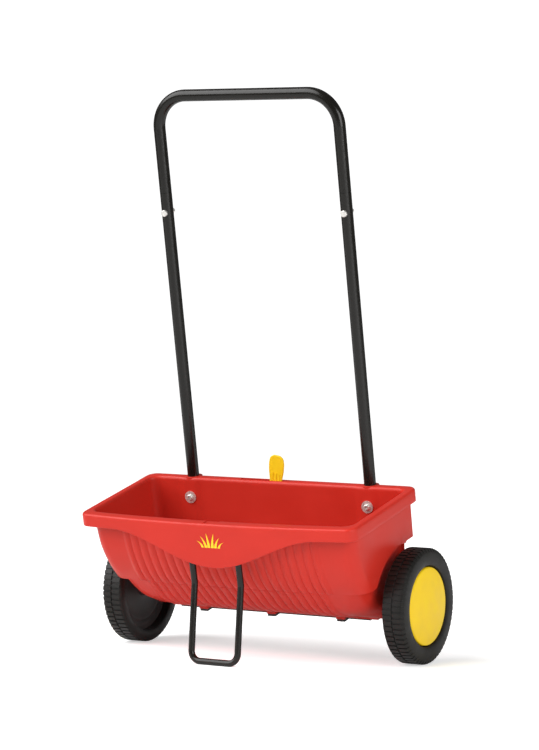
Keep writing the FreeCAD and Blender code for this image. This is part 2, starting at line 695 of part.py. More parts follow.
def shutter_guides():
    """Three clips under the trough that carry the shutter."""
    shapes = []
    low = LAND_Z - 2 * GAP - SHUTTER_THICK
    for x in guide_places():
        clip = block(x - 8, x + 8, -24, 24, low - GUIDE_THICK, LAND_Z)
        clip = clip.cut(block(x - 9, x + 9, -13 - GAP, 13 + GAP, low, LAND_Z + 1))
        for y in (-GUIDE_SCREW_Y, GUIDE_SCREW_Y):
            clip = clip.cut(rod(vec(x, y, -50), vec(x, y, -20), 1.5))
        shapes.append(from_hopper(clip))
    return Part.makeCompound(shapes)


def guide_screws():
    shapes = []
    low = LAND_Z - 2 * GAP - SHUTTER_THICK - GUIDE_THICK
    for x in guide_places():
        for y in (-GUIDE_SCREW_Y, GUIDE_SCREW_Y):
            shank = rod(vec(x, y, low), vec(x, y, LAND_Z + 3), 1.5)
            head = rod(vec(x, y, low - 1.2), vec(x, y, low), 3.2)
            shapes.append(from_hopper(shank.fuse(head)))
    return Part.makeCompound(shapes)


def dosing_scale():
    """Plain graduated strip on the back skirt, ticks only."""
    back = SKIRT_BACK
    strip = block(LEVER_X - 46, LEVER_X + 46, back, back + 1, 160, 176)
    for k in range(11):
        x = LEVER_X + (k - 5) * 8
        tall = 9 if k % 5 == 0 else 5
        strip = strip.fuse(block(x - 0.7, x + 0.7, back, back + 1.5, 174 - tall, 174))
    return from_hopper(strip.removeSplitter())


def pieces():
    """Every node of the spreader, by name."""
    return {
        "hopper_shell": from_hopper(hopper_shell()),
        "lower_tube_left": lower_tube(-LEG_HALF),
        "lower_tube_right": lower_tube(LEG_HALF),
        "handle_bow": handle_bow(),
        "joint_screws": joint_screws(),
        "joint_nuts": joint_nuts(),
        "hopper_bolts": hopper_bolts(),
        "bolt_washers": bolt_washers(),
        "hopper_nuts": hopper_nuts(),
        "tube_plugs": tube_plugs(),
        "stand": stand(),
        "stand_screws": stand_screws(),
        "bearing_housing_left": bearing_housing(-1),
        "bearing_housing_right": bearing_housing(1),
        "housing_screws": Part.makeCompound(housing_screws(-1) + housing_screws(1)),
        "bearing_bush_left": bearing_bush(-1),
        "bearing_bush_right": bearing_bush(1),
        "axle": axle(),
        "feed_roller": feed_roller(),
        "roller_pins": roller_pins(),
        "drive_pin": drive_pin(),
        "tyre_left": tyre(-1),
        "tyre_right": tyre(1),
        "wheel_disc_left": wheel_disc(-1, AXLE_R + RUN),
        "wheel_disc_right": driven_disc(),
        "hub_cap_left": hub_cap(-1),
        "hub_cap_right": hub_cap(1),
        "thrust_washers": thrust_washers(),
        "axle_caps": axle_caps(),
        "dosing_lever": dosing_lever(),
        "lever_screw": lever_screw(),
        "shutter_plate": shutter_plate(),
        "shutter_guides": shutter_guides(),
        "guide_screws": guide_screws(),
        "dosing_scale": dosing_scale(),
    }


def main():
    os.makedirs("parts", exist_ok=True)
    for name, shape in pieces().items():
        shape.exportStep("parts/" + name + ".step")


if __name__ == "__main__":
    main()
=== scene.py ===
"""Looks of a drop spreader for lawns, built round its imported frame."""

import json
from math import atan2, cos, pi, radians, sin, tau

import bmesh
import bpy
from bpy.props import FloatProperty, FloatVectorProperty, IntProperty, PointerProperty
from mathutils import Matrix, Vector


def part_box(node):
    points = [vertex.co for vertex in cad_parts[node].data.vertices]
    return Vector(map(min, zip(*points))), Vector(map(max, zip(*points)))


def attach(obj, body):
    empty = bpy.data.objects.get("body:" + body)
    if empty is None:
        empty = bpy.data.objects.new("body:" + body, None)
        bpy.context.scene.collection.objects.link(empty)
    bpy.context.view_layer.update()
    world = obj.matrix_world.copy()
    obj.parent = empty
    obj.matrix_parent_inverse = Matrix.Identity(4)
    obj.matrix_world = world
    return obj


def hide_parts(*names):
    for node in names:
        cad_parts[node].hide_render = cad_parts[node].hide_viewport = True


bl_info = {
    "name": "Drop spreader",
    "version": (1, 0, 0),
    "blender": (4, 5, 0),
    "location": "3D View > Sidebar > Spreader",
    "description": "Hopper, wheels, lever and finishes of a drop spreader for lawns",
    "category": "Object",
}

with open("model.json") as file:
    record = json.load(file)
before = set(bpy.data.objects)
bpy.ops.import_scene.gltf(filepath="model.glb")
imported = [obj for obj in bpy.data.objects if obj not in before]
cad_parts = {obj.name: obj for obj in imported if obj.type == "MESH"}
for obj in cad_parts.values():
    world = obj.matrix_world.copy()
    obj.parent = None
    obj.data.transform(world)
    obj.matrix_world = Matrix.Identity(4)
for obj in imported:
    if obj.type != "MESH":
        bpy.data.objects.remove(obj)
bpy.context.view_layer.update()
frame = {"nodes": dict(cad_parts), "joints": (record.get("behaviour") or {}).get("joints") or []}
MM = 0.001


# ---- places taken from the frame ---------------------------------------------------------
def middle(node):
    low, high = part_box(node)
    return (low + high) / 2


AXLE = middle("axle")
WHEEL_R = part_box("tyre_right")[1].z - AXLE.z
WHEEL_IN, WHEEL_OUT = (corner.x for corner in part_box("tyre_right"))
LEG_HALF = middle("lower_tube_right").x
TURN = next(joint for joint in frame["joints"] if joint["name"] == "dosing_turn")
TILT = atan2(-TURN["axis"][2], -TURN["axis"][1])
LEVER_PIVOT = Vector(TURN["pos_m"])
# hopper frame: origin on the axle, +Y back, +Z up the walls
HOPPER = Matrix.Translation(AXLE) @ Matrix.Rotation(TILT, 4, "X")


# ---- settings ----------------------------------------------------------------------------
def srgb(code):
    """Turn an sRGB hex colour into linear red, green and blue."""
    parts = [int(code[k:k + 2], 16) / 255 for k in (1, 3, 5)]
    return [p / 12.92 if p <= 0.04045 else ((p + 0.055) / 1.055) ** 2.4 for p in parts]


def length(name, description, millimetres):
    return FloatProperty(name=name, description=description, default=millimetres * MM,
                         min=0.0, unit="LENGTH", precision=4)


def colour(name, description, code):
    return FloatVectorProperty(name=name, description=description, default=srgb(code),
                               size=3, min=0.0, max=1.0, subtype="COLOR")


class SpreaderSizes(bpy.types.PropertyGroup):
    """Sizes of the shaped pieces."""
    wall: length("Wall", "Thickness of the moulded hopper", 3.0)
    rim_top: length("Rim height", "Height of the rim above the axle", 204.0)
    lip_height: length("Lip height", "Height of the turned-down lip", 24.0)
    apron_low: length("Apron edge", "Lowest point of the apron above the axle", 122.0)
    flute_depth: length("Flute depth", "How far each flute stands out", 2.4)
    flute_pitch: length("Flute pitch", "Distance from flute to flute", 17.0)
    flutes: IntProperty(name="Flutes", description="Flutes across the front", default=24, min=2)
    arch_r: length("Wheel arch", "Radius of each wheel arch", 112.0)
    lug_depth: length("Lug depth", "Height of the tyre's lugs", 1.9)
    lugs: IntProperty(name="Lugs", description="Lugs round each tyre row", default=64, min=8)
    cap_r: length("Hub cap radius", "Radius of each yellow hub cap", 71.0)


class SpreaderColours(bpy.types.PropertyGroup):
    """Colours of the finishes."""
    red: colour("Hopper red", "Moulded polypropylene of the hopper", "#CE3024")
    yellow: colour("Yellow", "Moulded polypropylene of the hub caps and lever", "#FFD61E")
    tube: colour("Tube black", "Powder coat of the handle and stand", "#14120E")
    tyre: colour("Tyre black", "Moulded tyre", "#151310")
    disc: colour("Disc grey", "Moulded wheel disc", "#383433")
    nylon: colour("Nylon black", "Moulded nylon fittings", "#1A1A1A")
    zinc: colour("Zinc", "Zinc plate on the fasteners", "#EDEBE6")
    floor: colour("Floor", "Studio floor", "#FAFAFA")


def sizes():
    return bpy.context.scene.spreader_sizes


def colours():
    return bpy.context.scene.spreader_colours


# ---- materials ---------------------------------------------------------------------------
def add(tree, kind, links=None, **settings):
    """Add a node: settings are its own properties, links fill its inputs by name or number."""
    node = tree.nodes.new(kind)
    for key, value in settings.items():
        setattr(node, key, value)
    for key, value in (links or {}).items():
        if isinstance(value, bpy.types.NodeSocket):
            tree.links.new(value, node.inputs[key])
        else:
            node.inputs[key].default_value = value
    return node


def finish(name, base, roughness, metallic=0.0, ior=1.5, grain_mm=0.5, grain_bump=0.02,
           cloud_mm=60.0, cloud=0.08, rough_spread=0.06, sheen=0.0):
    """A surface with a fine grain in its relief and soft clouds in its colour and gloss."""
    material = bpy.data.materials.new(name)
    material.use_nodes = True
    tree = material.node_tree
    tree.nodes.clear()
    place = add(tree, "ShaderNodeTexCoord").outputs["Object"]
    clouds = add(tree, "ShaderNodeTexNoise",
                 {"Vector": place, "Scale": 1 / (cloud_mm * MM), "Detail": 4.0}).outputs[0]
    grain = add(tree, "ShaderNodeTexNoise",
                {"Vector": place, "Scale": 1 / (grain_mm * MM), "Detail": 2.0}).outputs[0]
    shade = add(tree, "ShaderNodeMapRange",
                {0: clouds, 1: 0.3, 2: 0.7, 3: 1 - cloud, 4: 1 + cloud}).outputs[0]
    tone = add(tree, "ShaderNodeVectorMath", {0: (*base,), "Scale": shade},
               operation="SCALE").outputs[0]
    gloss = add(tree, "ShaderNodeMapRange",
                {0: clouds, 1: 0.3, 2: 0.7, 3: roughness - rough_spread,
                 4: roughness + rough_spread}).outputs[0]
    relief = add(tree, "ShaderNodeBump",
                 {"Height": grain, "Strength": grain_bump, "Distance": grain_mm * MM}).outputs[0]
    shader = add(tree, "ShaderNodeBsdfPrincipled",
                 {"Base Color": tone, "Roughness": gloss, "Metallic": metallic,
                  "Normal": relief, "Sheen Weight": sheen})
    if not metallic:
        shader.inputs["IOR"].default_value = ior
    add(tree, "ShaderNodeOutputMaterial", {"Surface": shader.outputs[0]})
    return material


def red_polypropylene():
    # injection-moulded: satin skin with a faint spark grain and slow flow clouds
    return finish("injection-moulded polypropylene, red", colours().red, 0.36, ior=1.34,
                  grain_mm=1.2, grain_bump=0.05, cloud_mm=90, cloud=0.035)


def yellow_polypropylene():
    # injection-moulded: smooth dome with slight sink clouds
    return finish("injection-moulded polypropylene, yellow", colours().yellow, 0.40, ior=1.34,
                  grain_mm=1.5, grain_bump=0.06, cloud_mm=26, cloud=0.035)


def powder_coat():
    # sprayed and baked: soft gloss with orange peel a little coarser than life, so it shows
    return finish("powder-coated steel tube, black", colours().tube, 0.22, ior=1.44,
                  grain_mm=1.4, grain_bump=0.06, cloud_mm=45, cloud=0.10)


def moulded_tyre():
    # moulded soft compound: dull skin with a satin bloom on the lug tops
    return finish("moulded rubber tyre, black", colours().tyre, 0.48, ior=1.37,
                  grain_mm=0.9, grain_bump=0.12, cloud_mm=30, cloud=0.14, sheen=0.05)


def grey_polypropylene():
    # spark-eroded mould: even matt grey
    return finish("injection-moulded polypropylene, dark grey", colours().disc, 0.55, ior=1.49,
                  grain_mm=0.8, grain_bump=0.12, cloud_mm=35, cloud=0.07)


def black_nylon():
    # glass-filled nylon: matt black with a mottled skin
    return finish("moulded glass-filled nylon, black", colours().nylon, 0.5, ior=1.53,
                  grain_mm=0.7, grain_bump=0.12, cloud_mm=18, cloud=0.15)


def zinc_plate():
    # zinc over turned steel with a thin whitish bloom on it: blotchy crystals
    return finish("zinc-plated steel", colours().zinc, 0.30, metallic=0.6, grain_mm=0.6,
                  grain_bump=0.08, cloud_mm=4, cloud=0.10, rough_spread=0.10)


def drawn_steel():
    # cold-drawn bar: fine streaks left by the die
    return finish("cold-drawn steel bar", srgb("#B9B8B4"), 0.32, metallic=1.0, grain_mm=0.8,
                  grain_bump=0.08, cloud_mm=12, cloud=0.08)


def natural_acetal():
    # turned acetal: milky, slightly waxy
    return finish("turned acetal, natural", srgb("#DAD7CC"), 0.4, ior=1.48, grain_mm=0.6,
                  grain_bump=0.05, cloud_mm=15, cloud=0.04)


def printed_film():
    # printed vinyl film: flat, faintly glossy
    return finish("printed vinyl film, yellow", colours().yellow, 0.3, ior=1.5, grain_mm=0.6,
                  grain_bump=0.02, cloud_mm=20, cloud=0.03)


def white_film():
    # vinyl film, white
    return finish("printed vinyl film, white", srgb("#E9E9E4"), 0.35, ior=1.5, grain_mm=0.6,
                  grain_bump=0.02, cloud_mm=20, cloud=0.03)


def coat(nodes, material):
    """Give CAD nodes one finish."""
    for name in nodes:
        mesh = frame["nodes"][name].data
        mesh.materials.clear()
        mesh.materials.append(material)


# ---- mesh helpers ------------------------------------------------------------------------
def skin(name, rows, wrap_rows=False):
    """Closed mesh over rows of points: each row is a loop, and the rows may form one too."""
    count = len(rows[0])
    points = [p for row in rows for p in row]
    faces = []
    pairs = list(zip(range(len(rows)), range(1, len(rows))))
    if wrap_rows:
        pairs.append((len(rows) - 1, 0))
    for a, b in pairs:
        for k in range(count):
            n = (k + 1) % count
            faces.append((a * count + k, a * count + n, b * count + n, b * count + k))
    if not wrap_rows:
        faces.append(tuple(reversed(range(count))))
        faces.append(tuple(range(len(points) - count, len(points))))
    mesh = bpy.data.meshes.new(name)
    mesh.from_pydata(points, [], faces)
    return outward(mesh)


def outward(mesh):
    """Point every face outwards."""
    work = bmesh.new()
    work.from_mesh(mesh)
    bmesh.ops.recalc_face_normals(work, faces=work.faces)
    work.to_mesh(mesh)
    work.free()
    return mesh


def show(name, mesh):
    piece = bpy.data.objects.new(name, mesh)
    bpy.context.scene.collection.objects.link(piece)
    return piece


def box_mesh(low, high):
    """Block between two corners, in millimetres."""
    work = bmesh.new()
    bmesh.ops.create_cube(work, size=1.0)
    for vert in work.verts:
        for k in range(3):
            vert.co[k] = high[k] if vert.co[k] > 0 else low[k]
    mesh = bpy.data.meshes.new("block")
    work.to_mesh(mesh)
    work.free()
    return outward(mesh)


def rod_mesh(start, end, radius, steps=96):
    """Plain cylinder between two points, in millimetres."""
    along = Vector(end) - Vector(start)
    turn = along.to_track_quat("Z", "Y").to_matrix()
    rows = []
    for height in (0.0, along.length):
        rows.append([Vector(start) + turn @ Vector((radius * cos(tau * k / steps),
                                                    radius * sin(tau * k / steps), height))
                     for k in range(steps)])
    return skin("rod", rows)


def lathe(name, outline, steps=128):
    """Turn a closed outline of (x, radius) points round the axle line."""
    rows = []
    for k in range(steps):
        turn = tau * k / steps
        rows.append([(x, r * cos(turn), r * sin(turn)) for x, r in outline])
    return skin(name, rows, wrap_rows=True)


def rounded(outline, radius, steps=4):
    """Round every corner of a closed outline of (x, y) points."""
    points = [Vector(p) for p in outline]
    result = []
    for k, corner in enumerate(points):
        before = points[k - 1] - corner
        after = points[(k + 1) % len(points)] - corner
        reach = min(radius, 0.45 * before.length, 0.45 * after.length)
        start = corner + before.normalized() * reach
        end = corner + after.normalized() * reach
        for step in range(steps + 1):
            t = step / steps
            point = start * (1 - t) ** 2 + corner * 2 * t * (1 - t) + end * t * t
            result.append(tuple(point))
    return result


def combine(piece, mesh, operation):
    """Cut, join or intersect a piece with a closed mesh."""
    tool = show("tool", mesh)
    modifier = piece.modifiers.new("combine", "BOOLEAN")
    modifier.operation = operation
    modifier.object = tool
    modifier.solver = "EXACT"
    bpy.context.view_layer.update()
    graph = bpy.context.evaluated_depsgraph_get()
    result = bpy.data.meshes.new_from_object(piece.evaluated_get(graph))
    piece.modifiers.clear()
    piece.data = result
    bpy.data.objects.remove(tool)


def joined(meshes):
    """One mesh holding several that don't touch."""
    work = bmesh.new()
    for mesh in meshes:
        work.from_mesh(mesh)
    result = bpy.data.meshes.new("joined")
    work.to_mesh(result)
    work.free()
    return result


def settle(piece, place, body, material, angle=35.0):
    """Scale a piece from millimetres, place it, shade it, and let it ride on a body."""
    piece.data.transform(place @ Matrix.Scale(MM, 4))
    piece.data.polygons.foreach_set("use_smooth", [True] * len(piece.data.polygons))
    piece.data.set_sharp_from_angle(angle=radians(angle))
    if not piece.data.materials:
        piece.data.materials.append(material)
    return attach(piece, body)


# ---- hopper ------------------------------------------------------------------------------
# height, half length, front, bow, back, front and back corner radius of the tub's outside
TUB = [
    (204, 271, 174, 12, 50, 22, 20),
    (160, 270, 172, 10, 48, 24, 20),
    (125, 269, 166, 8, 45, 26, 20),
    (85, 267, 150, 7, 40, 30, 20),
    (50, 264, 126, 4, 35, 30, 18),
    (20, 261, 103, 1, 30, 26, 14),
    (0, 258, 72, 0.5, 27, 18, 11),
    (-14, 256, 38, 0.3, 23, 12, 8),
    (-21, 252, 24, 0.2, 17, 8, 6),
    (-25, 248, 12, 0.1, 10, 5, 4),
    (-27, 244, 4, 0.0, 4, 1.5, 1.5),
]
# front corner radius of the hull, the narrower part below the body, at the same heights
HULL_CORNERS = [22, 24, 26, 32, 37, 50, 52, 30, 14, 6, 1.5]
STATION_STEPS = 60                   # rows that the stations are smoothed into
HULL_TOP = 63.0                      # below this the tub narrows to the hull
HULL_OVERLAP = 2.0                   # the hull starts this far up inside the body
HULL_SHY = 0.06                      # and stands back by this, so that no faces coincide
END_SHY = 0.1
TROUGH_HALF = 250.0                  # end plates of the hull
TROUGH_R = 27.0                      # round bottom of the trough
LIP = (284, 191, 14, 66.5, 20, 20)   # half length, front, bow, back, corner radii
LIP_ROUND = 4.5                      # rounded upper edge of the lip
APRON_REACH = 215.0                  # the apron's curve spans this much each side
RIM_FLARE = 6.0                      # rounded inner edge of the rim
SKIRT_LOW = 112.0
SKIRT_BACK = 63.5
SKIRT_FRONT = 8.0
SKIRT_ROUND = 12.0
SKIRT_LEAN = 0.0253                  # the skirt's sides come in by this much per unit down
LAND_REACH = 217.0
LAND_HALF = 14.0
LAND_Z = -28.0                       # flat land under the trough
GUIDE_PITCH = 145.0
GUIDE_PAD = (9.0, 25.0)              # half width and half depth of a pad for a guide
OUTLETS = 12
OUTLET_PITCH = 34.0
OUTLET_HALF = (7.5, 4.5)
AXLE_BORE = 8.0
LEG_BACK = 62.0                      # where a leg enters the rim
LEG_LEAN = 2.4                       # leg against the hopper's upright, degrees
TUBE_SUNK = 80.0
TUBE_BORE = 11.05
SOCKET_R = 17.0
BULGE = 2.0                          # channel bulge inside the back wall
STAND_HALF = 47.8
STAND_Y = -195.5
STAND_TOP = 190.0
STAND_BORE = 6.05
STAND_BLOCK = ((-203.0, -176.0), 148.0, 10.0)   # front and back, foot and half width
SLOT = (44.0, 3.4, 190.0)            # lever slot: half length, half width, floor
NOTCH = (14.0, -199.0, -160.0, 202.4)           # half length, front, back, floor
BOSS_R = 9.0


def along(stations):
    """Smooth run of stations from the rim down to the bottom of the trough."""
    result = []
    last = len(stations) - 1
    for k in range(STATION_STEPS + 1):
        t = last * k / STATION_STEPS
        i = min(int(t), last - 1)
        f = t - i
        quad = [stations[max(0, min(last, i + d))] for d in (-1, 0, 1, 2)]
        result.append([
            0.5 * (2 * b + (c - a) * f + (2 * a - 5 * b + 4 * c - d) * f * f
                   + (3 * b - a - 3 * c + d) * f ** 3)
            for a, b, c, d in zip(*quad)])
    return result


def between(stations, height):
    """Station at one height, between its neighbours."""
    for above, below in zip(stations, stations[1:]):
        if above[0] >= height > below[0]:
            t = (above[0] - height) / (above[0] - below[0])
            return [a + (b - a) * t for a, b in zip(above, below)]
    raise ValueError("height outside the tub")


def body_stations(floor):
    """Stations of the body, from the rim down to a floor."""
    run = along(TUB)
    return [row for row in run if row[0] > floor + 1] + [between(run, floor)]


def hull_stations(top):
    """Stations of the hull, from a lid inside the body down to the trough."""
    run = along([(z, TROUGH_HALF, front, bow, back, corner_r, back_r)
                 for (z, _, front, bow, back, _, back_r), corner_r in zip(TUB, HULL_CORNERS)])
    shy = [[z, half, front - HULL_SHY, bow, back - HULL_SHY, corner_r, back_r]
           for z, half, front, bow, back, corner_r, back_r in run]
    seam = between(shy, top)
    lid = [top + 5, seam[1] - 2, seam[2] - 2, seam[3], seam[4] - 2, seam[5], seam[6]]
    return [lid, seam] + [row for row in shy if row[0] < top - 1]


def flute_columns(count):
    """Places across the front, close together where one flute meets the next."""
    pitch = sizes().flute_pitch / MM
    shares = (0.0, 0.07, 0.2, 0.4, 0.6, 0.8, 0.93)
    start = -pitch * count / 2
    inner = [start + pitch * (k + share) for k in range(count) for share in shares]
    return inner + [-start]


def plan(half, front, bow, back, front_r, back_r, columns):
    """Plan outline: (x, y, part) points, from the left end of the front round to the left."""
    reach = half - front_r
    spread = [columns[0] + (-reach - columns[0]) * k / 3 for k in (3, 2, 1)]
    line = spread + list(columns) + [-x for x in reversed(spread)]
    ends = 10
    backs = 90
    side = back - back_r + front - front_r
    points = [(x, -front - bow * (1 - (x / reach) ** 2), "front") for x in line]
    points += corner(half, -front, front_r, -90, 1)
    points += [(half, -front + front_r + side * k / ends, "end") for k in range(1, ends)]
    points += corner(half, back, back_r, 0, 1)
    points += [(half - back_r - 2 * (half - back_r) * k / backs, back, "back")
               for k in range(1, backs)]
    points += corner(half, back, back_r, 90, -1)
    points += [(-half, back - back_r - side * k / ends, "end") for k in range(1, ends)]
    points += corner(half, -front, front_r, 180, -1)
    return points


def corner(half, y, radius, start, side, steps=8):
    """Quarter turn at a corner of the plan, less the point that the front already has."""
    centre_x = side * (half - radius)
    centre_y = y + radius if y < 0 else y - radius
    first = 1 if start == -90 else 0
    stop = steps if start == 180 else steps + 1
    return [(centre_x + radius * cos(radians(start + 90 * k / steps)),
             centre_y + radius * sin(radians(start + 90 * k / steps)), "corner")
            for k in range(first, stop)]


def fade(value, low, high):
    """Smooth step from 0 at low to 1 at high."""
    t = max(0.0, min(1.0, (value - low) / (high - low)))
    return t * t * (3 - 2 * t)


def flute_height(x, z, count):
    """How far the front stands out, in millimetres: a convex strip between two grooves."""
    pitch = sizes().flute_pitch / MM
    half = pitch * count / 2
    share = ((x + half) / pitch) % 1.0
    swell = 1 - abs(2 * share - 1) ** 2.2
    ends = 1 - fade(abs(x), half - 0.6 * pitch, half)
    deep = 1.55 - 0.6 * fade(z, 60, 130)
    return (sizes().flute_depth / MM * swell * ends * deep * fade(z, -24, -14)
            * (1 - fade(z, 168, 186)))


def tub_rows(stations, inset, count):
    """Rows of points down a wall, moved in by a distance."""
    columns = flute_columns(count)
    rows = []
    least = 0.6                      # smallest radius that still gives a sound mesh
    for z, half, front, bow, back, front_r, back_r in stations:
        low = fade(-z, 0, TROUGH_R) * inset
        row = plan(half - inset, max(front - inset, 2 * least), bow, max(back - inset, 2 * least),
                   max(front_r - inset, least), max(back_r - inset, least), columns)
        rows.append([(x, y, z + low, part) for x, y, part in row])
    return rows


def fluted(rows, count):
    """Raise the flutes along the slope of the front wall."""
    result = []
    for k, row in enumerate(rows):
        above = rows[max(0, k - 1)]
        below = rows[min(len(rows) - 1, k + 1)]
        new = []
        for i, (x, y, z, part) in enumerate(row):
            if part == "front":
                slope = Vector((below[i][1] - above[i][1], below[i][2] - above[i][2]))
                out = Vector((slope.y, -slope.x)).normalized()
                rise = flute_height(x, z, count)
                y, z = y + out.x * rise, z + out.y * rise
            new.append((x, y, z, part))
        result.append(new)
    return result


def lip_edge(x, y):
    """Height of the lip's lower edge; at the front it dips to the apron."""
    low = (sizes().rim_top - sizes().lip_height) / MM
    deep = sizes().apron_low / MM
    if y > -LIP[1] + LIP[4] or abs(x) > APRON_REACH:
        return low
    return deep + (low - deep) * (1 - cos(pi * x / APRON_REACH)) / 2


def lip_rows():
    """Rows from under the flange, down inside the lip, round its edge and up to the top."""
    columns = flute_columns(sizes().flutes)
    half, front, bow, back, front_r, back_r = LIP
    wall = sizes().wall / MM
    top = sizes().rim_top / MM
    rows = []

    def ring(inset, height, from_edge=False):
        row = plan(half - inset, front - inset, bow, back - inset, front_r - inset,
                   back_r - inset, columns)
        rows.append([(x, y, (lip_edge(x, y) if from_edge else 0) + height, part)
                     for x, y, part in row])

    ring(wall, top - wall)
    ring(wall, 1.0, True)
    for turn in (20, 70, 110, 160):
        ring(wall / 2 + wall / 2 * cos(radians(turn)), 1.0 - sin(radians(turn)), True)
    ring(0, 1.0, True)
    for share in (0.25, 0.5, 0.75):
        row = plan(half, front, bow, back, front_r, back_r, columns)
        rows.append([(x, y, (lip_edge(x, y) + 1) * (1 - share) + (top - LIP_ROUND) * share, part)
                     for x, y, part in row])
    for k in range(7):
        turn = radians(15 * k)
        ring(LIP_ROUND * (1 - cos(turn)), top - LIP_ROUND * (1 - sin(turn)))
    return rows


def bare(rows):
    return [[(x, y, z) for x, y, z, _ in row] for row in rows]


def outer_solid():
    """Body, flange, lip and apron as one full solid, closed across the mouth."""
    count = sizes().flutes
    walls = fluted(tub_rows(body_stations(HULL_TOP), 0, count), count)
    walls[-1] = [(x, y, HULL_TOP, part) for x, y, _, part in walls[-1]]
    top = (sizes().rim_top - sizes().wall) / MM
    walls = [row for row in walls if row[0][2] < top - 1]
    first = [(x, y, top, part) for x, y, _, part in walls[0]]
    rows = list(reversed(bare(walls))) + bare([first]) + bare(lip_rows())
    return skin("outer", rows)


def hull_solid():
    """The narrower hull below the body."""
    count = sizes().flutes - 2
    rows = tub_rows(hull_stations(HULL_TOP + HULL_OVERLAP), 0, count)
    return skin("hull", list(reversed(bare(rows[:1] + fluted(rows[1:], count)))))


def hull_cavity():
    """Inside of the hull."""
    wall = sizes().wall / MM
    rows = tub_rows(hull_stations(HULL_TOP + HULL_OVERLAP + wall), wall, sizes().flutes - 2)
    return skin("hull cavity", list(reversed(bare(rows))))


def cavity_solid():
    """Inside of the body, flared at the rim and drawn in over the tube channels."""
    wall = sizes().wall / MM
    top = sizes().rim_top / MM
    rows = [row for row in tub_rows(body_stations(HULL_TOP + wall), wall, sizes().flutes)
            if row[0][2] < top - RIM_FLARE - 1]
    bulged = []
    for row in rows:
        new = []
        for x, y, z, part in row:
            if part == "back":
                off = abs(abs(x) - LEG_HALF / MM)
                y -= BULGE * (1 - fade(off, 13, 24)) * fade(z, 96, 128)
            new.append((x, y, z, part))
        bulged.append(new)
    flare = []
    for k in range(7):
        turn = radians(15 * k)
        grow = RIM_FLARE * (1 - cos(turn)) * 0.8
        height = top - RIM_FLARE * (1 - sin(turn)) + 0.02
        flare.append(widened(bulged[0], grow, height))
    flare.append(widened(bulged[0], RIM_FLARE * 0.8, top + 8))
    rows = list(reversed(bare(bulged))) + bare(flare)
    return skin("cavity", rows)


def widened(row, grow, height):
    """A row moved straight outwards and lifted to one height."""
    result = []
    count = len(row)
    for i, (x, y, _, part) in enumerate(row):
        before = row[i - 1]
        after = row[(i + 1) % count]
        way = Vector((after[1] - before[1], before[0] - after[0])).normalized()
        result.append((x + way.x * grow, y + way.y * grow, height, part))
    return result


def skirt_outline(z, front, inset):
    """Outline of the back skirt at one height; its sides lean with the end walls."""
    half = TUB[0][1] + 0.15 - SKIRT_LEAN * (TUB[0][0] - z) - inset
    back = SKIRT_BACK - inset
    radius = SKIRT_ROUND - inset
    points = [(-half, front, z), (half, front, z)]
    for side, start in ((1, 0), (-1, 90)):
        centre = side * (half - radius)
        points += [(centre + radius * cos(radians(start + 10 * k)),
                    back - radius + radius * sin(radians(start + 10 * k)), z)
                   for k in range(10)]
    return points


def back_skirt():
    """Deep skirt behind the tub, open below."""
    wall = sizes().wall / MM
    top = sizes().rim_top / MM - 1
    piece = show("skirt", skin("skirt", [skirt_outline(z, SKIRT_FRONT, 0)
                                         for z in (SKIRT_LOW, top)]))
    combine(piece, skin("space", [skirt_outline(z, SKIRT_FRONT - 1, wall)
                                  for z in (SKIRT_LOW - 1, top + 1)]), "DIFFERENCE")
    return taken(piece)


def taken(piece):
    """Mesh of a helper piece that is no longer needed as an object."""
    mesh = piece.data
    bpy.data.objects.remove(piece)
    return mesh


def arch_tool(side, near, radius):
    """Wheel arch that stops short of the tub's back wall."""
    edge = [(-300, -5), (23, -5), (35, 70), (41, SKIRT_LOW), (41, 300), (-300, 300)]
    room = skin("room", [[(x, y, z) for y, z in edge] for x in (-450, 450)])
    piece = show("arch", rod_mesh((side * near, 0, 0), (side * 400, 0, 0), radius, 160))
    combine(piece, room, "INTERSECT")
    return taken(piece)


def leg_rod(side, low, high, radius):
    """Cylinder round one handle leg, between two heights along it."""
    top = Vector((side * LEG_HALF / MM, LEG_BACK, sizes().rim_top / MM))
    way = Matrix.Rotation(radians(-LEG_LEAN), 3, "X") @ Vector((0, 0, 1))
    return rod_mesh(top + way * low, top + way * high, radius, 72)


def trough_rod(inset):
    """Round bottom of the trough between the end plates."""
    half = TROUGH_HALF - inset - END_SHY
    return rod_mesh((-half, 0, 0), (half, 0, 0), TROUGH_R - inset, 128)


def hopper_additions(pivot):
    """Meshes that join the tub: hull, land, guide pads, skirt, stand blocks, lever boss."""
    pad_x, pad_y = GUIDE_PAD
    (block_front, block_back), block_foot, block_half = STAND_BLOCK
    under_rim = sizes().rim_top / MM - 1
    return [
        hull_solid(),
        trough_rod(0),
        box_mesh((-LAND_REACH, -LAND_HALF, LAND_Z), (LAND_REACH, LAND_HALF, -20)),
        joined([box_mesh((x - pad_x, -pad_y, LAND_Z + 0.03), (x + pad_x, pad_y, -10))
                for x in (-GUIDE_PITCH, 0, GUIDE_PITCH)]),
        back_skirt(),
        joined([box_mesh((x - block_half, block_front, block_foot),
                         (x + block_half, block_back, under_rim))
                for x in (-STAND_HALF, STAND_HALF)]),
        rod_mesh((pivot.x, 24, pivot.z), (pivot.x, pivot.y - 2.3, pivot.z), BOSS_R, 48),
    ]


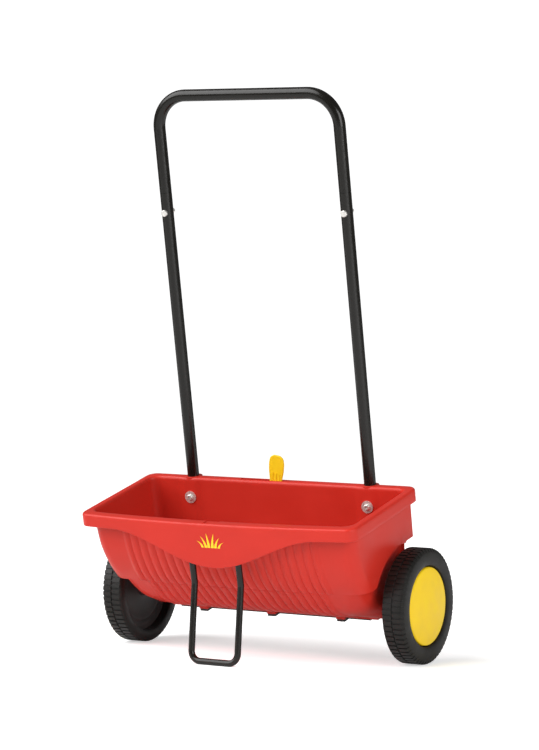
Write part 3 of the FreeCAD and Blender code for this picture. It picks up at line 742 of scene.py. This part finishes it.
def hopper_cuts(pivot):
    """Meshes cut from the tub: lever slot, rim notch, tube and stand bores, outlets, bore."""
    above = 210
    slot_half, slot_gap, slot_floor = SLOT
    notch_half, notch_front, notch_back, notch_floor = NOTCH
    out_x, out_y = OUTLET_HALF
    slot = box_mesh((pivot.x - slot_half, pivot.y - slot_gap, slot_floor),
                    (pivot.x + slot_half, pivot.y + slot_gap, above))
    notch = box_mesh((-notch_half, notch_front, notch_floor), (notch_half, notch_back, above))
    outlets = [(k - (OUTLETS - 1) / 2) * OUTLET_PITCH for k in range(OUTLETS)]
    return [
        joined([slot, notch]),
        joined([leg_rod(side, 3 - TUBE_SUNK, 20, TUBE_BORE) for side in (-1, 1)]),
        joined([rod_mesh((x, STAND_Y, 100), (x, STAND_Y, STAND_TOP), STAND_BORE, 48)
                for x in (-STAND_HALF, STAND_HALF)]),
        joined([box_mesh((x - out_x, -out_y, LAND_Z - 1), (x + out_x, out_y, -20))
                for x in outlets]),
        rod_mesh((-300, 0, 0), (300, 0, 0), AXLE_BORE, 64),
    ]


def hopper_piece():
    """The whole tub: body, then what joins it, the inside, the sockets and the cuts."""
    piece = show("hopper", outer_solid())
    inside = show("inside", cavity_solid())
    arch = sizes().arch_r / MM
    wall = sizes().wall / MM
    for side in (-1, 1):
        combine(piece, arch_tool(side, TROUGH_HALF, arch), "DIFFERENCE")
        combine(inside, rod_mesh((side * (TROUGH_HALF - wall), 0, 0), (side * 400, 0, 0),
                                 arch + wall, 160), "DIFFERENCE")
    pivot = HOPPER.inverted() @ LEVER_PIVOT / MM
    for mesh in hopper_additions(pivot):
        combine(piece, mesh, "UNION")
    for mesh in (taken(inside), hull_cavity(), trough_rod(wall)):
        combine(piece, mesh, "DIFFERENCE")
    sockets = joined([leg_rod(side, -TUBE_SUNK, -1, SOCKET_R) for side in (-1, 1)])
    combine(piece, sockets, "UNION")
    for mesh in hopper_cuts(pivot):
        combine(piece, mesh, "DIFFERENCE")
    return piece


class SPREADER_OT_hopper(bpy.types.Operator):
    """Mould the hopper with its rim, apron, flutes, arches and back skirt"""
    bl_idname = "spreader.hopper"
    bl_label = "Hopper"

    def execute(self, context):
        piece = hopper_piece()
        settle(piece, HOPPER, "root", red_polypropylene())
        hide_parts("hopper_shell")
        return {"FINISHED"}


# ---- wheels ------------------------------------------------------------------------------
LUG_SHARES = (0.0, 0.02, 0.30, 0.33, 0.5, 0.52, 0.80, 0.83)   # columns in each lug's pitch
GROOVE = (0.51, 0.81)                # the gap's share of that pitch
DISC_R = 83.2


def tyre_mesh():
    """Tyre with two staggered rows of lugs and smooth sides."""
    inner = WHEEL_IN / MM
    outer = WHEEL_OUT / MM
    tread = WHEEL_R / MM
    depth = sizes().lug_depth / MM
    lugs = sizes().lugs
    middle_x = (inner + outer) / 2 - 0.5
    # x, radius, lug row (0 is plain)
    outline = [
        (inner + 20, 83.4, 0), (inner + 2.4, 84.2, 0), (inner + 1.0, 84.8, 0),
        (inner + 0.2, 86.4, 0), (inner, 92, 0), (inner, 99.6, 0), (inner + 0.8, 102.0, 0),
        (inner + 2.2, tread - 1.6, 0),
        (inner + 2.4, tread - 0.6, 1), (inner + 3.4, tread, 1), (middle_x - 1.6, tread, 1),
        (middle_x - 1.2, tread - 0.5, 1), (middle_x - 1.0, tread - depth, 0),
        (middle_x + 1.0, tread - depth, 0), (middle_x + 1.2, tread - 0.5, 2),
        (middle_x + 1.6, tread, 2), (outer - 6.0, tread, 2), (outer - 3.6, tread - 0.9, 2),
        (outer - 3.2, tread - 2.4, 2), (outer - 1.7, tread - 4.6, 2), (outer - 0.6, tread - 8, 0),
        (outer, tread - 14, 0), (outer, 84, 0), (outer - 0.3, 77, 0), (outer - 1.4, 74.4, 0),
        (outer - 3, 73.5, 0), (outer - 7, 73.4, 0), (outer - 7, 83.4, 0)]
    rows = []
    for k in range(lugs):
        for share in LUG_SHARES:
            turn = tau * (k + share) / lugs
            row = []
            for x, r, lug in outline:
                if lug:
                    r -= depth * groove((share + 0.5 * (lug - 1)) % 1.0)
                row.append((x, r * cos(turn), r * sin(turn)))
            rows.append(row)
    return skin("tyre", rows, wrap_rows=True)


def groove(phase):
    """1 in the gap between two lugs, 0 on a lug."""
    return 1.0 if GROOVE[0] < phase < GROOVE[1] else 0.0


class SPREADER_OT_tyres(bpy.types.Operator):
    """Mould both tyres with their lugs"""
    bl_idname = "spreader.tyres"
    bl_label = "Tyres"

    def execute(self, context):
        material = moulded_tyre()
        for side, name, body in ((-1, "left", "left_wheel"), (1, "right", "drive")):
            mesh = tyre_mesh()
            if side < 0:
                mesh.transform(Matrix.Scale(-1, 4, (1, 0, 0)))
                outward(mesh)
            piece = settle(show("tyre_" + name, mesh), Matrix.Translation(AXLE), body,
                           material, 30)
            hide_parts("tyre_" + name)
        return {"FINISHED"}


def disc_outline():
    """Half section of the dished wheel disc and its hub."""
    inner = WHEEL_IN / MM
    outer = WHEEL_OUT / MM
    face = inner + 18
    near = inner - 6.8               # the hub reaches in past the tyre
    return [(near, 5.1), (near, 14.5), (near + 1.2, 16), (face - 4, 18.5), (face - 1, 19.5),
            (face, 23), (face, 60), (face - 1.5, 62), (face - 1.5, 66), (face, 68),
            (face, 79), (face - 2, DISC_R - 1.7), (face - 2, DISC_R), (outer - 7.2, DISC_R),
            (outer - 7.2, 75), (face + 3, 75), (face + 3, 18), (outer - 8, 14), (outer - 8, 5.1)]


def cap_outline():
    """Shallow dome with a rounded edge, hollow behind."""
    radius = sizes().cap_r / MM
    rim = WHEEL_OUT / MM - 6
    edge = 3.4
    dome = 3.6
    points = [(rim - 12, radius - 3), (rim - 12, radius - 0.4), (rim + 1, radius)]
    for k in range(1, 7):
        turn = radians(15 * k)
        points.append((rim + 1 + edge * sin(turn), radius - edge * (1 - cos(turn))))
    for k in range(1, 13):
        share = 1 - k / 13
        points.append((rim + 1 + edge + dome * (1 - share ** 2), (radius - edge) * share))
    points += [(rim + 1 + edge + dome, 0.4), (rim + edge + dome - 1.6, 0.4),
               (rim + edge - 1, radius - 5)]
    return points


class SPREADER_OT_wheel_discs(bpy.types.Operator):
    """Mould both wheel discs"""
    bl_idname = "spreader.wheel_discs"
    bl_label = "Wheel discs"

    def execute(self, context):
        make_pair("wheel_disc", disc_outline(), grey_polypropylene())
        return {"FINISHED"}


class SPREADER_OT_hub_caps(bpy.types.Operator):
    """Mould both yellow hub caps"""
    bl_idname = "spreader.hub_caps"
    bl_label = "Hub caps"

    def execute(self, context):
        make_pair("hub_cap", cap_outline(), yellow_polypropylene())
        return {"FINISHED"}


def make_pair(label, outline, material):
    """A turned piece for each wheel, standing for the node of the same side."""
    for side, name, body in ((-1, "left", "left_wheel"), (1, "right", "drive")):
        mesh = lathe(label, [(side * x, r) for x, r in outline], 160)
        piece = settle(show(f"{label}_{name}", mesh), Matrix.Translation(AXLE), body,
                       material, 40)
        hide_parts(f"{label}_{name}")


# ---- lever -------------------------------------------------------------------------------
LEVER_HALF_THICK = 2.0
LEVER_LEAN = 9.8                     # how far the lever leans over at rest, degrees


def lever_outline():
    """Half outline of the lever, (half width, height above the pivot), from the bottom."""
    return [(7, -62), (7, -12), (12.5, -6), (12.5, 6), (7, 13), (7, 112), (11.5, 160),
            (12.5, 178), (15.2, 196), (15.6, 210), (13.5, 221), (7, 226)]


def lever_bar():
    """Flat bar with a rounded paddle and broken edges."""
    right = lever_outline()
    left = [(-x, z) for x, z in reversed(right)]
    outline = rounded(right + left, 3.2, 4)
    half = LEVER_HALF_THICK
    edge = 0.9
    rows = []
    for y, inset in ((-half, edge), (edge - half, 0), (half - edge, 0), (half, edge)):
        rows.append([(x * (1 - inset / 16), y, z - (inset if z > 0 else -inset))
                     for x, z in outline])
    return skin("lever", rows)


def lever_piece():
    """The bar with three thumb ridges, the fork for the shutter's pin and the pivot hole."""
    piece = show("visible_lever", lever_bar())
    half = LEVER_HALF_THICK
    ridges = [box_mesh((x - 1.6, -half - 0.9, 176), (x + 1.6, -half + 0.4, 192))
              for x in (-7, 0, 7)]
    combine(piece, joined(ridges), "UNION")
    fork = box_mesh((-3.3, -9, -70), (3.3, 9, -52))
    hole = rod_mesh((0, -9, 0), (0, 9, 0), 4.1, 48)
    combine(piece, joined([fork, hole]), "DIFFERENCE")
    return piece


class SPREADER_OT_lever(bpy.types.Operator):
    """Mould the yellow dosing lever"""
    bl_idname = "spreader.lever"
    bl_label = "Dosing lever"

    def execute(self, context):
        lean = Matrix.Rotation(radians(LEVER_LEAN), 4, "Y")
        place = Matrix.Translation(LEVER_PIVOT) @ Matrix.Rotation(TILT, 4, "X") @ lean
        piece = settle(lever_piece(), place, "lever", yellow_polypropylene(), 30)
        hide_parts("dosing_lever")
        return {"FINISHED"}


# ---- mark on the apron -------------------------------------------------------------------
MARK_Z = 160.0
# lean in degrees, height, width and place of each blade of grass
BLADES = [(-34, 17, 5, -16), (-20, 23, 5.5, -9), (-6, 27, 6, -3),
          (8, 27, 6, 4), (21, 22, 5.5, 10), (35, 16, 5, 17)]


class SPREADER_OT_mark(bpy.types.Operator):
    """Print a plain tuft of grass on the apron"""
    bl_idname = "spreader.mark"
    bl_label = "Grass mark"

    def execute(self, context):
        piece = show("grass_mark", joined([blade(*shape) for shape in BLADES]))
        settle(piece, HOPPER, "root", printed_film())
        return {"FINISHED"}


def blade(lean, tall, wide, x):
    """One curved blade, a thin film on the apron's face."""
    steps = 8
    left, right = [], []
    for k in range(steps + 1):
        t = k / steps
        across = wide / 2 * (1 - t) ** 0.8
        bend = radians(lean) * (0.4 + 0.9 * t)
        middle_x = x + tall * t * sin(bend)
        z = MARK_Z + tall * t * cos(bend)
        left.append((middle_x - across, z))
        right.append((middle_x + across, z))
    outline = left + list(reversed(right[:-1]))
    half, front, bow = LIP[0] - LIP[4], LIP[1], LIP[2]
    return skin("blade", [[(px, -front - bow * (1 - (px / half) ** 2) - proud, pz)
                           for px, pz in outline] for proud in (0.35, -0.15)])


# ---- finishes of the pieces that keep their shape ------------------------------------------
class SPREADER_OT_handle(bpy.types.Operator):
    """Coat the handle tubes and the stand"""
    bl_idname = "spreader.handle"
    bl_label = "Handle and stand"

    def execute(self, context):
        coat(("lower_tube_left", "lower_tube_right", "handle_bow", "stand"), powder_coat())
        return {"FINISHED"}


class SPREADER_OT_fasteners(bpy.types.Operator):
    """Plate the screws, bolts, nuts and washers"""
    bl_idname = "spreader.fasteners"
    bl_label = "Fasteners"

    def execute(self, context):
        coat(("joint_screws", "joint_nuts", "hopper_bolts", "bolt_washers", "hopper_nuts",
              "stand_screws", "housing_screws", "guide_screws", "lever_screw", "roller_pins",
              "drive_pin", "thrust_washers", "axle_caps"), zinc_plate())
        return {"FINISHED"}


class SPREADER_OT_fittings(bpy.types.Operator):
    """Finish the bearings, axle, roller, shutter and scale"""
    bl_idname = "spreader.fittings"
    bl_label = "Fittings"

    def execute(self, context):
        coat(("bearing_housing_left", "bearing_housing_right", "tube_plugs", "shutter_plate",
              "shutter_guides", "feed_roller"), black_nylon())
        coat(("bearing_bush_left", "bearing_bush_right"), natural_acetal())
        coat(("axle",), drawn_steel())
        coat(("dosing_scale",), white_film())
        return {"FINISHED"}


# ---- stage -------------------------------------------------------------------------------
WHITE = (1.0, 1.0, 1.0, 1.0)


def camera():
    """Long lens from the front right, a little above the middle of the handle."""
    data = bpy.data.cameras.new("camera")
    data.sensor_width = 36.0
    data.lens = 145.23
    data.clip_end = 100.0
    item = bpy.data.objects.new("camera", data)
    bpy.context.scene.collection.objects.link(item)
    azimuth = radians(29.79)
    elevation = radians(2.428)
    roll = radians(0.487)
    distance = 5.539
    aim = Vector((0.0, AXLE.y - 0.0315, 0.5126))
    back = Vector((sin(azimuth) * cos(elevation), -cos(azimuth) * cos(elevation),
                   sin(elevation)))
    right = Vector((cos(azimuth), sin(azimuth), 0.0))
    up = back.cross(right)
    turned_right = right * cos(roll) + up * sin(roll)
    turned_up = up * cos(roll) - right * sin(roll)
    basis = Matrix((turned_right, turned_up, back)).transposed().to_4x4()
    item.matrix_world = Matrix.Translation(aim + back * distance) @ basis
    bpy.context.scene.camera = item


def soft_box(name, place, aim, width, height, watts):
    """Rectangular soft light turned towards a point."""
    data = bpy.data.lights.new(name, "AREA")
    data.shape = "RECTANGLE"
    data.size = width
    data.size_y = height
    data.energy = watts
    item = bpy.data.objects.new(name, data)
    bpy.context.scene.collection.objects.link(item)
    item.location = place
    item.rotation_euler = (Vector(aim) - Vector(place)).to_track_quat("-Z", "Y").to_euler()


def studio_floor():
    """Wide pale floor, lit from within for the camera alone so that shadows stay faint."""
    mesh = bpy.data.meshes.new("floor")
    reach = 3.4
    mesh.from_pydata([(-reach, -reach, 0), (reach, -reach, 0), (reach, reach, 0),
                      (-reach, reach, 0)], [], [(0, 1, 2, 3)])
    paper = finish("matt studio paper", colours().floor, 0.9, grain_mm=2, grain_bump=0.01,
                   cloud_mm=400, cloud=0.004, rough_spread=0.02)
    tree = paper.node_tree
    shader = tree.nodes["Principled BSDF"]
    seen = add(tree, "ShaderNodeLightPath").outputs["Is Camera Ray"]
    lift = add(tree, "ShaderNodeMapRange", {0: seen, 1: 0.0, 2: 1.0, 3: 0.0, 4: 0.5}).outputs[0]
    shader.inputs["Emission Color"].default_value = WHITE
    tree.links.new(lift, shader.inputs["Emission Strength"])
    mesh.materials.append(paper)
    show("floor", mesh)


def world_light():
    """White behind everything, and a much dimmer even light from it."""
    world = bpy.data.worlds.new("studio")
    bpy.context.scene.world = world
    world.use_nodes = True
    tree = world.node_tree
    tree.nodes.clear()
    seen = add(tree, "ShaderNodeLightPath").outputs["Is Camera Ray"]
    light, white = (add(tree, "ShaderNodeBackground",
                        {"Color": WHITE, "Strength": strength}).outputs[0]
                    for strength in (0.17, 1.1))
    both = add(tree, "ShaderNodeMixShader", {0: seen, 1: light, 2: white}).outputs[0]
    add(tree, "ShaderNodeOutputWorld", {"Surface": both})


def soft_sun(name, way, strength, spread):
    """Very soft far light, so that the floor is lit evenly out to its edge."""
    data = bpy.data.lights.new(name, "SUN")
    data.energy = strength
    data.angle = radians(spread)
    item = bpy.data.objects.new(name, data)
    bpy.context.scene.collection.objects.link(item)
    item.rotation_euler = Vector(way).to_track_quat("-Z", "Y").to_euler()


class SPREADER_OT_stage(bpy.types.Operator):
    """Set the floor, the soft lights and the camera"""
    bl_idname = "spreader.stage"
    bl_label = "Stage"

    def execute(self, context):
        context.scene.view_settings.view_transform = "Standard"
        world_light()
        studio_floor()
        soft_sun("key", way=(0.58, 0.56, -0.64), strength=3.75, spread=64)
        soft_box("fill", place=(3.0, -1.2, 1.3), aim=(0, 0, 0.3), width=2.0, height=2.0,
                 watts=52)
        camera()
        return {"FINISHED"}


# ---- add-on ------------------------------------------------------------------------------
PIECES = (SPREADER_OT_stage, SPREADER_OT_hopper, SPREADER_OT_tyres, SPREADER_OT_wheel_discs,
          SPREADER_OT_hub_caps, SPREADER_OT_lever, SPREADER_OT_mark, SPREADER_OT_handle,
          SPREADER_OT_fasteners, SPREADER_OT_fittings)


class SPREADER_PT_panel(bpy.types.Panel):
    """Sizes, colours and pieces of the spreader"""
    bl_label = "Spreader"
    bl_idname = "SPREADER_PT_panel"
    bl_space_type = "VIEW_3D"
    bl_region_type = "UI"
    bl_category = "Spreader"

    def draw(self, context):
        for group in (context.scene.spreader_sizes, context.scene.spreader_colours):
            for key in group.__annotations__:
                self.layout.prop(group, key)
        for piece in PIECES:
            self.layout.operator(piece.bl_idname)


def register():
    for item in (SpreaderSizes, SpreaderColours, *PIECES, SPREADER_PT_panel):
        bpy.utils.register_class(item)
    bpy.types.Scene.spreader_sizes = PointerProperty(type=SpreaderSizes)
    bpy.types.Scene.spreader_colours = PointerProperty(type=SpreaderColours)


def unregister():
    del bpy.types.Scene.spreader_colours
    del bpy.types.Scene.spreader_sizes
    for item in (SPREADER_PT_panel, *reversed(PIECES), SpreaderColours, SpreaderSizes):
        bpy.utils.unregister_class(item)


def main():
    register()
    for piece in PIECES:
        family, name = piece.bl_idname.split(".")
        getattr(getattr(bpy.ops, family), name)()


if __name__ == "__main__":
    main()
